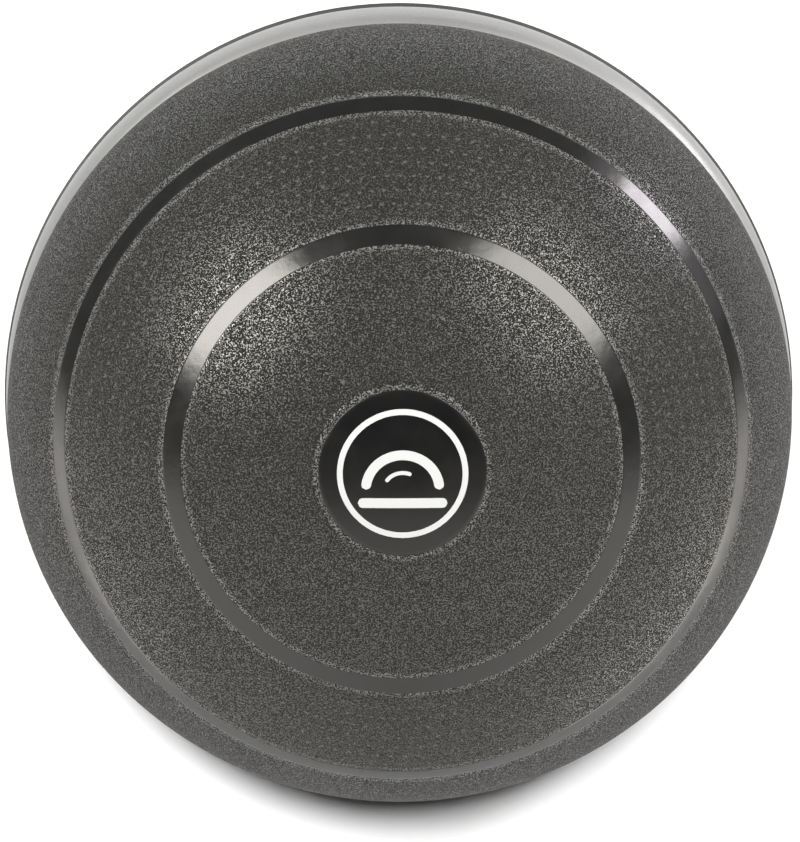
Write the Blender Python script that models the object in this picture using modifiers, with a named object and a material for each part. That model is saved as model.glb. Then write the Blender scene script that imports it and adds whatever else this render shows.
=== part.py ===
"""Balance dome trainer: an air-filled dome that a silver ring clamps onto a round black platform.

The trainer stands on its platform. +Z is up, the floor is z = 0 and the dome's axis is x = y = 0.
"""
import math

import bmesh
import bpy
from mathutils import Matrix

# ---- driving dimensions, in metres ----------------------------------------------------------
GAP = 0.0003                    # between pieces that touch
STEPS = 48                      # round steps of the large turned pieces
SMALL_STEPS = 20                # round steps of the valve

DOME_RADIUS = 0.280             # at the dome's widest circle
DOME_RISE = 0.188               # from the widest circle up to the crown
DOME_TUCK = 0.150               # half-height of the ellipse that the side follows further down
DOME_WALL = 0.003
WIDEST_HEIGHT = 0.098           # of the widest circle over the floor
WAIST_HEIGHT = 0.062            # where the side turns straight down into the ring
BAND_HEIGHT = 0.0004            # the smooth bands stand this far out of the grained surface
BANDS = ((0.1392, 0.1505), (0.2204, 0.2292))

BADGE_RADIUS = 0.0518
BADGE_THICKNESS = 0.0009

FOOT_HEIGHT = 0.005             # the platform's underside is this far over the floor
DECK_THICKNESS = 0.004
PLATFORM_TOP = 0.038
PLATFORM_RADIUS = 0.298
PLATFORM_WALL = 0.0035
PLATFORM_CORNER = 0.009         # radius of the rounded lower edge
SHELF_RADIUS = 0.262            # inner radius of the shelf that the dome's bead sits on
RIB_THICKNESS = 0.003
RIB_TOP = PLATFORM_TOP - 0.0005
RIB_RADII = (0.120, 0.230)
RIB_COUNT = 6
WELL_RADIUS = 0.024             # round opening under the valve

RING_RADIUS = 0.295
RING_CROWN_RADIUS = 0.276       # where the ring is highest
RING_TOP = 0.0665
RING_SHOULDER = 0.043           # where the ring's side turns upright
RING_WALL = 0.003

BEAD_RADIUS = 0.2788
BEAD_TOP = 0.0443
FLOOR_THICKNESS = 0.0025        # of the dome's flat floor

SCREW_COUNT = 12
SCREW_CIRCLE = 0.284
SCREW_HEAD_RADIUS = 0.0048
SCREW_HEAD_HEIGHT = 0.0032
SCREW_SHANK_RADIUS = 0.0022
SCREW_SEAT = 0.018              # height of the shoulder that each screw head pulls on
SCREW_TIP = 0.055
SCREW_SIDES = 12

FOOT_COUNT = 8
FOOT_CIRCLE = 0.262
FOOT_RADIUS = 0.015
FOOT_SINK = 0.002               # how deep each foot sits in the underside
FOOT_SIDES = 20

GRIP_INNER = 0.246              # the hand pockets run from here ...
GRIP_OUTER = 0.2805             # ... to here along X
GRIP_HALF_WIDTH = 0.056
GRIP_ROOF = 0.0335
GRIP_WALL = 0.003
NOTCH_HALF_WIDTH = 0.044
NOTCH_ROOF = 0.0165             # underside of the grip bar
BELOW = -0.010                  # cutters start this low

VALVE_HOLE_RADIUS = 0.009
VALVE_BORE_RADIUS = 0.005
VALVE_FLANGE_RADIUS = 0.016
VALVE_END = 0.024               # lower end of the valve's neck
PLUG_STEM_RADIUS = 0.0047
PLUG_HEAD_RADIUS = 0.0118

FLOOR_BOTTOM = PLATFORM_TOP + GAP
FLOOR_TOP = FLOOR_BOTTOM + FLOOR_THICKNESS
CROWN_HEIGHT = WIDEST_HEIGHT + DOME_RISE


# ---- scene, materials and shape tools --------------------------------------------------------
def clear_scene():
    for item in list(bpy.data.objects):
        bpy.data.objects.remove(item, do_unlink=True)


def new_collection(name):
    collection = bpy.data.collections.new(name)
    bpy.context.scene.collection.children.link(collection)
    return collection


def material(name, colour, roughness, metallic=0.0):
    made = bpy.data.materials.new(name)
    made.use_nodes = True
    shader = made.node_tree.nodes["Principled BSDF"]
    shader.inputs["Base Color"].default_value = (*colour, 1.0)
    shader.inputs["Roughness"].default_value = roughness
    shader.inputs["Metallic"].default_value = metallic
    return made


def add_object(name, mesh, collection):
    made = bpy.data.objects.new(name, mesh)
    collection.objects.link(made)
    return made


def as_cutter(made):
    made.hide_render = True
    made.display_type = 'WIRE'
    return made


def turned(name, outline, collection, steps=STEPS, closed=True):
    """A profile of (radius, height) points, turned round Z; a closed profile returns to its start."""
    mesh = bpy.data.meshes.new(name)
    edges = [(i, i + 1) for i in range(len(outline) - 1)]
    if closed:
        edges.append((len(outline) - 1, 0))
    mesh.from_pydata([(radius, 0.0, height) for radius, height in outline], edges, [])
    made = add_object(name, mesh, collection)
    screw = made.modifiers.new("turn", 'SCREW')
    screw.axis = 'Z'
    screw.angle = math.tau
    screw.steps = steps
    screw.render_steps = steps
    screw.use_merge_vertices = True
    screw.merge_threshold = 0.00005
    screw.use_smooth_shade = True
    return made


def solids(name, collection, build):
    """An object whose mesh build(bm) fills with primitives."""
    bm = bmesh.new()
    build(bm)
    mesh = bpy.data.meshes.new(name)
    bm.to_mesh(mesh)
    bm.free()
    mesh.shade_smooth()
    mesh.set_sharp_from_angle(angle=math.radians(35))
    return add_object(name, mesh, collection)


def add_box(bm, low, high, turn=0.0):
    """A box between two corners, turned round Z by an angle."""
    size = [b - a for a, b in zip(low, high)]
    middle = [(a + b) / 2 for a, b in zip(low, high)]
    place = Matrix.Rotation(turn, 4, 'Z') @ Matrix.Translation(middle) @ Matrix.Diagonal((*size, 1.0))
    bmesh.ops.create_cube(bm, size=1.0, matrix=place)


def add_cylinder(bm, radius, low, high, x=0.0, y=0.0, sides=SCREW_SIDES):
    place = Matrix.Translation((x, y, (low + high) / 2))
    bmesh.ops.create_cone(bm, cap_ends=True, segments=sides, radius1=radius, radius2=radius,
                          depth=high - low, matrix=place)


def combine(made, other, operation):
    step = made.modifiers.new(other.name, 'BOOLEAN')
    step.operation = operation
    step.solver = 'EXACT'
    step.object = other


def round_edges(made, width, segments=2):
    bevel = made.modifiers.new("rounded edges", 'BEVEL')
    bevel.width = width
    bevel.segments = segments
    bevel.limit_method = 'ANGLE'
    bevel.angle_limit = math.radians(50)


def around(count, radius, first=0.0):
    """Evenly spaced (x, y) places on a circle."""
    angles = [first + math.tau * i / count for i in range(count)]
    return [(radius * math.cos(a), radius * math.sin(a)) for a in angles]


def screw_places():
    return around(SCREW_COUNT, SCREW_CIRCLE, math.pi / SCREW_COUNT)


def foot_places():
    return around(FOOT_COUNT, FOOT_CIRCLE, math.pi / FOOT_COUNT)


# ---- the dome --------------------------------------------------------------------------------
def dome_point(angle, offset=0.0):
    """A point of the dome's outer surface, angle down from the crown, moved out by offset."""
    half_height = DOME_RISE if angle <= math.pi / 2 else DOME_TUCK
    normal = (half_height * math.sin(angle), DOME_RADIUS * math.cos(angle))
    length = math.hypot(*normal)
    return (DOME_RADIUS * math.sin(angle) + offset * normal[0] / length,
            WIDEST_HEIGHT + half_height * math.cos(angle) + offset * normal[1] / length)


def dome_angle(radius):
    return math.asin(radius / DOME_RADIUS)


def waist_angle():
    return math.acos((WAIST_HEIGHT - WIDEST_HEIGHT) / DOME_TUCK)


def outer_side():
    """The dome's outer surface from the crown to the waist, with its two raised bands."""
    edges = [dome_angle(radius) for band in BANDS for radius in band]
    slope = 0.004                # angle that a band's edge takes to rise
    stations = [(edge + sign * slope, sign) for edge, sign in zip(edges, (-1, 1, -1, 1))]
    stops = [0.0] + [angle for angle, _ in stations] + [math.pi / 2]
    points = [(0.0, CROWN_HEIGHT)]
    counts = (4, 1, 3, 1, 3)
    for i, count in enumerate(counts):
        start, end = stops[i], stops[i + 1]
        if count > 1:
            points += [dome_point(start + (end - start) * k / count) for k in range(1, count + 1)]
            continue
        points.append(dome_point(start + 2 * slope, BAND_HEIGHT))
        points.append(dome_point(end - 2 * slope, BAND_HEIGHT))
        points.append(dome_point(end))
    points.append(dome_point((math.pi / 2 + waist_angle()) / 2))
    points.append(dome_point(waist_angle()))
    return points


def inner_side():
    """The dome's inner surface from the waist up to the crown."""
    count = 7
    points = [dome_point(waist_angle() * (count - k) / count, -DOME_WALL) for k in range(count)]
    return points + [(0.0, CROWN_HEIGHT - DOME_WALL)]


def make_bladder(parts):
    waist_radius = dome_point(waist_angle())[0]
    lip = [(waist_radius, BEAD_TOP),
           (BEAD_RADIUS, BEAD_TOP),
           (BEAD_RADIUS, FLOOR_BOTTOM),
           (VALVE_HOLE_RADIUS, FLOOR_BOTTOM),
           (VALVE_HOLE_RADIUS, FLOOR_TOP),
           (waist_radius - DOME_WALL - 0.003, FLOOR_TOP),
           (waist_radius - DOME_WALL, FLOOR_TOP + 0.003)]
    bladder = turned("dome_bladder", outer_side() + lip + inner_side(), parts, closed=False)
    bladder.data.materials.append(material("dome_pvc", (0.055, 0.055, 0.053), 0.55))
    return bladder


def make_badge(parts):
    """The printed disc on the crown, which follows the dome's curve."""
    count = 2
    edge = dome_angle(BADGE_RADIUS)
    top = [dome_point(edge * k / count, GAP + BADGE_THICKNESS) for k in range(count + 1)]
    bottom = [dome_point(edge * k / count, GAP) for k in range(count, -1, -1)]
    badge = turned("crown_badge", top + bottom, parts, closed=False)
    badge.data.materials.append(material("badge_print", (0.02, 0.02, 0.021), 0.32))
    return badge


# ---- the platform and the ring ---------------------------------------------------------------
def platform_outline():
    deck_top = FOOT_HEIGHT + DECK_THICKNESS
    wall_inside = PLATFORM_RADIUS - PLATFORM_WALL
    corner_x = PLATFORM_RADIUS - PLATFORM_CORNER
    corner_z = FOOT_HEIGHT + PLATFORM_CORNER
    count = 3
    points = [(PLATFORM_RADIUS, PLATFORM_TOP)]
    for k in range(count + 1):
        angle = math.pi / 2 * k / count
        points.append((corner_x + PLATFORM_CORNER * math.cos(angle),
                       corner_z - PLATFORM_CORNER * math.sin(angle)))
    points.append((WELL_RADIUS, FOOT_HEIGHT))
    points.append((WELL_RADIUS, RIB_TOP))
    points.append((WELL_RADIUS + RIB_THICKNESS, RIB_TOP))
    points.append((WELL_RADIUS + RIB_THICKNESS, deck_top))
    for radius in RIB_RADII:
        points.append((radius, deck_top))
        points.append((radius, RIB_TOP))
        points.append((radius + RIB_THICKNESS, RIB_TOP))
        points.append((radius + RIB_THICKNESS, deck_top))
    points.append((wall_inside, deck_top))
    points.append((wall_inside, PLATFORM_TOP - DECK_THICKNESS))
    points.append((SHELF_RADIUS, PLATFORM_TOP - DECK_THICKNESS))
    points.append((SHELF_RADIUS, PLATFORM_TOP))
    return points


def radial_ribs(bm):
    low = (WELL_RADIUS + RIB_THICKNESS / 2, -RIB_THICKNESS / 2, FOOT_HEIGHT + DECK_THICKNESS / 2)
    high = (PLATFORM_RADIUS - PLATFORM_WALL * 0.7, RIB_THICKNESS / 2, RIB_TOP - 0.0004)
    for k in range(RIB_COUNT):
        add_box(bm, low, high, math.tau * k / RIB_COUNT)


def screw_columns(bm):
    low = FOOT_HEIGHT + DECK_THICKNESS / 2
    high = PLATFORM_TOP - DECK_THICKNESS / 2
    for x, y in screw_places():
        add_cylinder(bm, 0.008, low, high, x, y)


def screw_recesses(bm):
    for x, y in screw_places():
        add_cylinder(bm, 0.0055, BELOW, SCREW_SEAT, x, y)


def screw_clearance(bm):
    for x, y in screw_places():
        add_cylinder(bm, 0.0026, SCREW_SEAT - 0.001, PLATFORM_TOP + 0.010, x, y)


def foot_recesses(bm):
    for x, y in foot_places():
        add_cylinder(bm, FOOT_RADIUS + GAP, BELOW, FOOT_HEIGHT + FOOT_SINK + GAP, x, y, sides=FOOT_SIDES)


def pocket_walls(bm):
    for turn in (0.0, math.pi):
        add_box(bm, (GRIP_INNER - GRIP_WALL, -GRIP_HALF_WIDTH - GRIP_WALL, FOOT_HEIGHT + 0.001),
                (GRIP_OUTER + GRIP_WALL, GRIP_HALF_WIDTH + GRIP_WALL, RIB_TOP - 0.0002), turn)


def pockets(bm):
    for turn in (0.0, math.pi):
        add_box(bm, (GRIP_INNER, -GRIP_HALF_WIDTH, BELOW), (GRIP_OUTER, GRIP_HALF_WIDTH, GRIP_ROOF), turn)


def notches(bm):
    for turn in (0.0, math.pi):
        add_box(bm, (GRIP_OUTER - 0.0015, -NOTCH_HALF_WIDTH, BELOW),
                (PLATFORM_RADIUS + 0.010, NOTCH_HALF_WIDTH, NOTCH_ROOF), turn)


def grip_sides(bm):
    reach = NOTCH_HALF_WIDTH + 0.006
    for turn in (0.0, math.pi):
        add_box(bm, (GRIP_OUTER - 0.0005, -reach, BELOW), (PLATFORM_RADIUS + 0.010, reach, 0.060), turn)


def grip_rim(bm):
    radius = PLATFORM_RADIUS - PLATFORM_WALL / 2
    add_cylinder(bm, radius, NOTCH_ROOF - 0.004, PLATFORM_TOP - DECK_THICKNESS / 2, sides=STEPS)


def make_platform(parts, cutters):
    platform = turned("platform", platform_outline(), parts)
    platform.data.materials.append(material("platform_plastic", (0.022, 0.022, 0.022), 0.45))
    grips = as_cutter(solids("grip_bars", cutters, grip_rim))
    combine(grips, as_cutter(solids("grip_sides", cutters, grip_sides)), 'INTERSECT')
    pocket_space = as_cutter(solids("pocket_spaces", cutters, pockets))
    round_edges(pocket_space, 0.006)
    notch_space = as_cutter(solids("notch_spaces", cutters, notches))
    round_edges(notch_space, 0.005)
    joined = [as_cutter(solids("radial_ribs", cutters, radial_ribs)),
              as_cutter(solids("screw_columns", cutters, screw_columns)),
              as_cutter(solids("pocket_walls", cutters, pocket_walls)),
              grips]
    removed = [pocket_space,
               notch_space,
               as_cutter(solids("screw_recesses", cutters, screw_recesses)),
               as_cutter(solids("screw_clearance", cutters, screw_clearance)),
               as_cutter(solids("foot_recesses", cutters, foot_recesses))]
    for other in joined:
        combine(platform, other, 'UNION')
    for other in removed:
        combine(platform, other, 'DIFFERENCE')
    return platform


def quarter(width, height, first, last, count):
    """Points of the ring's rounded section, from one angle to another."""
    points = []
    for k in range(count + 1):
        angle = math.radians(first + (last - first) * k / count)
        points.append((RING_CROWN_RADIUS + width * math.cos(angle),
                       RING_SHOULDER + height * math.sin(angle)))
    return points


def ring_outline():
    bottom = PLATFORM_TOP + GAP
    leg_bottom = BEAD_TOP + GAP
    width = RING_RADIUS - RING_CROWN_RADIUS
    height = RING_TOP - RING_SHOULDER
    leg = dome_point(waist_angle())[0] + GAP
    inside = quarter(width - RING_WALL, height - RING_WALL, 0, 80, 3)
    points = quarter(width, height, 90, 0, 5)
    points.append((RING_RADIUS, bottom))
    points.append((RING_RADIUS - RING_WALL, bottom))
    points += inside
    points.append((leg + RING_WALL, inside[-1][1]))
    points.append((leg + RING_WALL, leg_bottom))
    points.append((leg, leg_bottom))
    points.append((leg, WAIST_HEIGHT))
    points.append((leg + 0.002, RING_TOP - 0.0005))
    return points


def ring_bosses(bm):
    for x, y in screw_places():
        add_cylinder(bm, 0.004, PLATFORM_TOP + GAP, 0.0604, x, y)


def ring_pilots(bm):
    for x, y in screw_places():
        add_cylinder(bm, SCREW_SHANK_RADIUS + GAP, PLATFORM_TOP - 0.010, SCREW_TIP + 0.0005, x, y)


def make_ring(parts, cutters):
    ring = turned("clamp_ring", ring_outline(), parts)
    ring.data.materials.append(material("ring_silver", (0.62, 0.62, 0.60), 0.35))
    combine(ring, as_cutter(solids("ring_bosses", cutters, ring_bosses)), 'UNION')
    combine(ring, as_cutter(solids("ring_pilots", cutters, ring_pilots)), 'DIFFERENCE')
    return ring


# ---- fasteners and feet ----------------------------------------------------------------------
def screw_outline():
    head_top = SCREW_SEAT - GAP
    head_bottom = head_top - SCREW_HEAD_HEIGHT
    return [(0.0, SCREW_TIP),
            (SCREW_SHANK_RADIUS * 0.35, SCREW_TIP),
            (SCREW_SHANK_RADIUS, SCREW_TIP - 0.004),
            (SCREW_SHANK_RADIUS, head_top),
            (SCREW_HEAD_RADIUS, head_top),
            (SCREW_HEAD_RADIUS, head_bottom + 0.001),
            (SCREW_HEAD_RADIUS - 0.001, head_bottom),
            (0.0, head_bottom)]


def make_screws(parts):
    steel = material("screw_steel", (0.09, 0.09, 0.095), 0.35, 1.0)
    for number, (x, y) in enumerate(screw_places(), start=1):
        screw = turned(f"ring_screw_{number:02d}", screw_outline(), parts, SCREW_SIDES, closed=False)
        screw.location = (x, y, 0.0)
        screw.data.materials.append(steel)


def foot_body(bm):
    add_cylinder(bm, FOOT_RADIUS, 0.0, FOOT_HEIGHT + FOOT_SINK, sides=FOOT_SIDES)


def make_feet(parts):
    rubber = material("foot_rubber", (0.03, 0.03, 0.03), 0.8)
    for number, (x, y) in enumerate(foot_places(), start=1):
        foot = solids(f"foot_pad_{number}", parts, foot_body)
        foot.location = (x, y, 0.0)
        foot.data.materials.append(rubber)
        round_edges(foot, 0.001, 1)


# ---- the valve -------------------------------------------------------------------------------
def make_valve(parts, cutters):
    neck = 0.0105
    seat_outline = [(VALVE_BORE_RADIUS, FLOOR_TOP + 0.0023),
                    (VALVE_FLANGE_RADIUS, FLOOR_TOP + 0.0023),
                    (VALVE_FLANGE_RADIUS, FLOOR_TOP + GAP),
                    (VALVE_HOLE_RADIUS - GAP, FLOOR_TOP + GAP),
                    (VALVE_HOLE_RADIUS - GAP, FLOOR_BOTTOM - GAP),
                    (VALVE_FLANGE_RADIUS, FLOOR_BOTTOM - GAP),
                    (VALVE_FLANGE_RADIUS, FLOOR_BOTTOM - 0.003),
                    (neck, FLOOR_BOTTOM - 0.004),
                    (neck, VALVE_END + 0.0005),
                    (neck - 0.0005, VALVE_END),
                    (VALVE_BORE_RADIUS, VALVE_END)]
    seat = turned("valve_seat", seat_outline, parts, SMALL_STEPS)
    seat.data.materials.append(material("valve_seat_pvc", (0.05, 0.05, 0.05), 0.5))

    head_top = VALVE_END - GAP
    plug_outline = [(0.0, 0.0395),
                    (PLUG_STEM_RADIUS - 0.0006, 0.0395),
                    (PLUG_STEM_RADIUS, 0.0382),
                    (PLUG_STEM_RADIUS, head_top),
                    (PLUG_HEAD_RADIUS - 0.0006, head_top),
                    (PLUG_HEAD_RADIUS, head_top - 0.0007),
                    (PLUG_HEAD_RADIUS, head_top - 0.0025),
                    (PLUG_HEAD_RADIUS - 0.0008, head_top - 0.0032),
                    (0.0, head_top - 0.0032)]
    plug = turned("valve_plug", plug_outline, parts, SMALL_STEPS, closed=False)
    plug.data.materials.append(material("valve_plug_pvc", (0.55, 0.55, 0.53), 0.45))

    def fin_body(bm):
        add_box(bm, (-0.008, -0.0015, 0.0095), (0.008, 0.0015, head_top - 0.002))

    fin = as_cutter(solids("plug_fin", cutters, fin_body))
    round_edges(fin, 0.0009, 1)
    combine(plug, fin, 'UNION')


def main():
    clear_scene()
    parts = new_collection("balance_dome_trainer")
    cutters = new_collection("cutters")
    make_bladder(parts)
    make_badge(parts)
    make_platform(parts, cutters)
    make_ring(parts, cutters)
    make_screws(parts)
    make_feet(parts)
    make_valve(parts, cutters)


main()
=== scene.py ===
"""The looks of the balance dome trainer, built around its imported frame.

Metres, +Z up. The trainer stands on a pale studio floor at z = 0, and its axis is x = y = 0.
"""
import math

import bmesh
import bpy
import numpy as np
from mathutils import Matrix, Vector


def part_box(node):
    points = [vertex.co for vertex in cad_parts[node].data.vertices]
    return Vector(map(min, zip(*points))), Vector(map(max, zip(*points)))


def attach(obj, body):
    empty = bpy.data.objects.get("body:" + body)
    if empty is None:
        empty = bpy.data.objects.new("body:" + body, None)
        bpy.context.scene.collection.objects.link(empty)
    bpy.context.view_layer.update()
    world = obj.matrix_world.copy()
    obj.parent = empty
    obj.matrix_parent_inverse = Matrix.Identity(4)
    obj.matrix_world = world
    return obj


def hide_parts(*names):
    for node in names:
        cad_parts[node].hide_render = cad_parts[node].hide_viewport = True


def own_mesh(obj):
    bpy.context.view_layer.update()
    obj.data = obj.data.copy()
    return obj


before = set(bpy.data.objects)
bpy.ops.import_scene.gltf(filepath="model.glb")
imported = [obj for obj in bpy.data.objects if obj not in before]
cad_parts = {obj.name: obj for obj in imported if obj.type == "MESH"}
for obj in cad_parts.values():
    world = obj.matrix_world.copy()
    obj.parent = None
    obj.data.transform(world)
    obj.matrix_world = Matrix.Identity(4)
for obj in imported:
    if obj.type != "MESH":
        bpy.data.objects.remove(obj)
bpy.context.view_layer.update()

# ---- sizes read from the frame ----------------------------------------------------------------
DOME_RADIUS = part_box("dome_bladder")[1].x
CROWN_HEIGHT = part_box("dome_bladder")[1].z
FLOOR_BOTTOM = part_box("dome_bladder")[0].z
BADGE_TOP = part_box("crown_badge")[1].z
RING_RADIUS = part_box("clamp_ring")[1].x
RING_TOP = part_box("clamp_ring")[1].z
PLATFORM_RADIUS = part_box("platform")[1].x
PLATFORM_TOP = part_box("platform")[1].z
FOOT_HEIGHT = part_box("platform")[0].z
FOOT_RADIUS = (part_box("foot_pad_1")[1].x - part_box("foot_pad_1")[0].x) / 2
FOOT_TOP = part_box("foot_pad_1")[1].z
SCREW_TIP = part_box("ring_screw_01")[1].z
SCREW_HEAD_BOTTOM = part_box("ring_screw_01")[0].z
PLUG_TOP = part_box("valve_plug")[1].z
PLUG_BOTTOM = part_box("valve_plug")[0].z
VALVE_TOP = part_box("valve_seat")[1].z
VALVE_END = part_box("valve_seat")[0].z

# ---- shapes of the trainer: the CAD's own numbers, except that the bands' step is softer here ---
GAP = 0.0003
WIDEST_HEIGHT = 0.098
DOME_RISE = CROWN_HEIGHT - WIDEST_HEIGHT
DOME_TUCK = 0.150
DOME_WALL = 0.003
WAIST_HEIGHT = 0.062
BAND_HEIGHT = 0.0001
BANDS = ((0.1392, 0.1505), (0.2204, 0.2292))
BADGE_RADIUS = 0.0518
BEAD_RADIUS = 0.2788
BEAD_TOP = 0.0443
FLOOR_THICKNESS = 0.0025
DECK_THICKNESS = 0.004
PLATFORM_WALL = 0.0035
PLATFORM_CORNER = 0.009
SHELF_RADIUS = 0.262
RIB_THICKNESS = 0.003
RIB_TOP = PLATFORM_TOP - 0.0005
RIB_RADII = (0.120, 0.230)
RIB_COUNT = 6
WELL_RADIUS = 0.024
RING_CROWN_RADIUS = 0.276
RING_SHOULDER = 0.043
RING_WALL = 0.003
SCREW_COUNT = 12
SCREW_CIRCLE = 0.284
SCREW_SEAT = 0.018
SCREW_SHANK_RADIUS = 0.0022
SCREW_HEAD_RADIUS = 0.0048
COLUMN_RADIUS = 0.008
COUNTERBORE_RADIUS = 0.0055
CLEARANCE_RADIUS = 0.0026
BOSS_RADIUS = 0.004
BOSS_TOP = 0.0604
FOOT_COUNT = 8
FOOT_CIRCLE = 0.262
GRIP_INNER = 0.246
GRIP_OUTER = 0.2805
GRIP_HALF_WIDTH = 0.056
GRIP_ROOF = 0.0335
GRIP_WALL = 0.003
NOTCH_HALF_WIDTH = 0.044
NOTCH_ROOF = 0.0165
VALVE_HOLE_RADIUS = 0.009
VALVE_BORE_RADIUS = 0.005
VALVE_FLANGE_RADIUS = 0.016
VALVE_NECK_RADIUS = 0.0105
PLUG_STEM_RADIUS = 0.0047
PLUG_HEAD_RADIUS = 0.0118
BELOW = -0.010
FLOOR_TOP = FLOOR_BOTTOM + FLOOR_THICKNESS

# ---- how finely the pieces are made ------------------------------------------------------------
FINE_STEPS = 384
PLATFORM_STEPS = 192
SMALL_STEPS = 64


# ---- mesh tools --------------------------------------------------------------------------------
def new_object(name, data):
    made = bpy.data.objects.new(name, data)
    bpy.context.scene.collection.objects.link(made)
    return made


def finish_mesh(mesh, sharp=35):
    """Turns a mesh's normals outward, and leaves only edges sharper than the angle hard."""
    bm = bmesh.new()
    bm.from_mesh(mesh)
    bmesh.ops.recalc_face_normals(bm, faces=bm.faces)
    bm.to_mesh(mesh)
    bm.free()
    mesh.shade_smooth()
    mesh.set_sharp_from_angle(angle=math.radians(sharp))
    return mesh


def turned_mesh(name, outline, steps=FINE_STEPS, closed=True, slots=None):
    """A profile of (radius, height) points turned round Z; slots gives each strip's material."""
    angles = np.arange(steps) * math.tau / steps
    points, rows = [], []
    for radius, height in outline:
        if radius < 1e-6:
            rows.append([len(points)] * steps)
            points.append((0.0, 0.0, height))
            continue
        rows.append(list(range(len(points), len(points) + steps)))
        points += [(radius * math.cos(a), radius * math.sin(a), height) for a in angles]
    pairs = list(zip(range(len(rows) - 1), range(1, len(rows))))
    if closed:
        pairs.append((len(rows) - 1, 0))
    faces, kinds = [], []
    for number, (first, second) in enumerate(pairs):
        for k in range(steps):
            corners = [rows[first][k], rows[first][(k + 1) % steps],
                       rows[second][(k + 1) % steps], rows[second][k]]
            face = [c for i, c in enumerate(corners) if c not in corners[:i]]
            if len(face) > 2:
                faces.append(face)
                kinds.append(slots[number] if slots else 0)
    mesh = bpy.data.meshes.new(name)
    mesh.from_pydata(points, [], faces)
    mesh.polygons.foreach_set("material_index", kinds)
    return finish_mesh(mesh)


def turned(name, outline, steps=FINE_STEPS, closed=True, slots=None):
    return new_object(name, turned_mesh(name, outline, steps, closed, slots))


def solid(name, build, sharp=35):
    """An object whose mesh build(bm) fills with closed bodies."""
    bm = bmesh.new()
    build(bm)
    mesh = bpy.data.meshes.new(name)
    bm.to_mesh(mesh)
    bm.free()
    return new_object(name, finish_mesh(mesh, sharp))


def add_box(bm, low, high, turn=0.0, rounding=0.0, segments=3):
    """A box between two corners, its edges rounded, turned round Z by an angle."""
    size = [b - a for a, b in zip(low, high)]
    middle = [(a + b) / 2 for a, b in zip(low, high)]
    place = Matrix.Rotation(turn, 4, 'Z') @ Matrix.Translation(middle)
    place = place @ Matrix.Diagonal((*size, 1.0))
    made = bmesh.ops.create_cube(bm, size=1.0, matrix=place)
    if rounding:
        edges = {edge for vertex in made["verts"] for edge in vertex.link_edges}
        bmesh.ops.bevel(bm, geom=list(edges), offset=rounding, segments=segments, profile=0.5,
                        affect='EDGES')


def add_cylinder(bm, radius, low, high, x=0.0, y=0.0, sides=32):
    place = Matrix.Translation((x, y, (low + high) / 2))
    bmesh.ops.create_cone(bm, cap_ends=True, segments=sides, radius1=radius, radius2=radius,
                          depth=high - low, matrix=place)


def combine(made, other, operation):
    """Joins or cuts one solid by another, and removes the other."""
    step = made.modifiers.new(other.name, 'BOOLEAN')
    step.operation = operation
    step.solver = 'EXACT'
    step.object = other
    settle(made)
    bpy.data.objects.remove(other, do_unlink=True)


def settle(made):
    """Turns an object's modifiers into its mesh."""
    view = bpy.context.evaluated_depsgraph_get()
    mesh = bpy.data.meshes.new_from_object(made.evaluated_get(view))
    made.modifiers.clear()
    made.data = mesh


def oval(centre, width, height, first, last, count):
    """Points of an elliptical arc in a profile, angles in degrees."""
    angles = [math.radians(first + (last - first) * k / count) for k in range(count + 1)]
    return [(centre[0] + width * math.cos(a), centre[1] + height * math.sin(a)) for a in angles]


def arc(centre, radius, first, last, count):
    """Points of a circular arc in a profile."""
    return oval(centre, radius, radius, first, last, count)


def around(count, radius, first=0.0):
    """Points spaced evenly round Z."""
    angles = [first + math.tau * i / count for i in range(count)]
    return [(radius * math.cos(a), radius * math.sin(a)) for a in angles]


SCREW_PLACES = around(SCREW_COUNT, SCREW_CIRCLE, math.pi / SCREW_COUNT)
FOOT_PLACES = around(FOOT_COUNT, FOOT_CIRCLE, math.pi / FOOT_COUNT)


# ---- material tools ----------------------------------------------------------------------------
def feed(tree, target, socket, value):
    """Links a socket to another's output, or sets its constant."""
    if isinstance(value, bpy.types.NodeSocket):
        tree.links.new(value, target.inputs[socket])
    else:
        target.inputs[socket].default_value = value


def add_node(tree, kind, inputs, **settings):
    made = tree.nodes.new("ShaderNode" + kind)
    for name, value in settings.items():
        setattr(made, name, value)
    for socket, value in inputs.items():
        feed(tree, made, socket, value)
    return made


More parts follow.
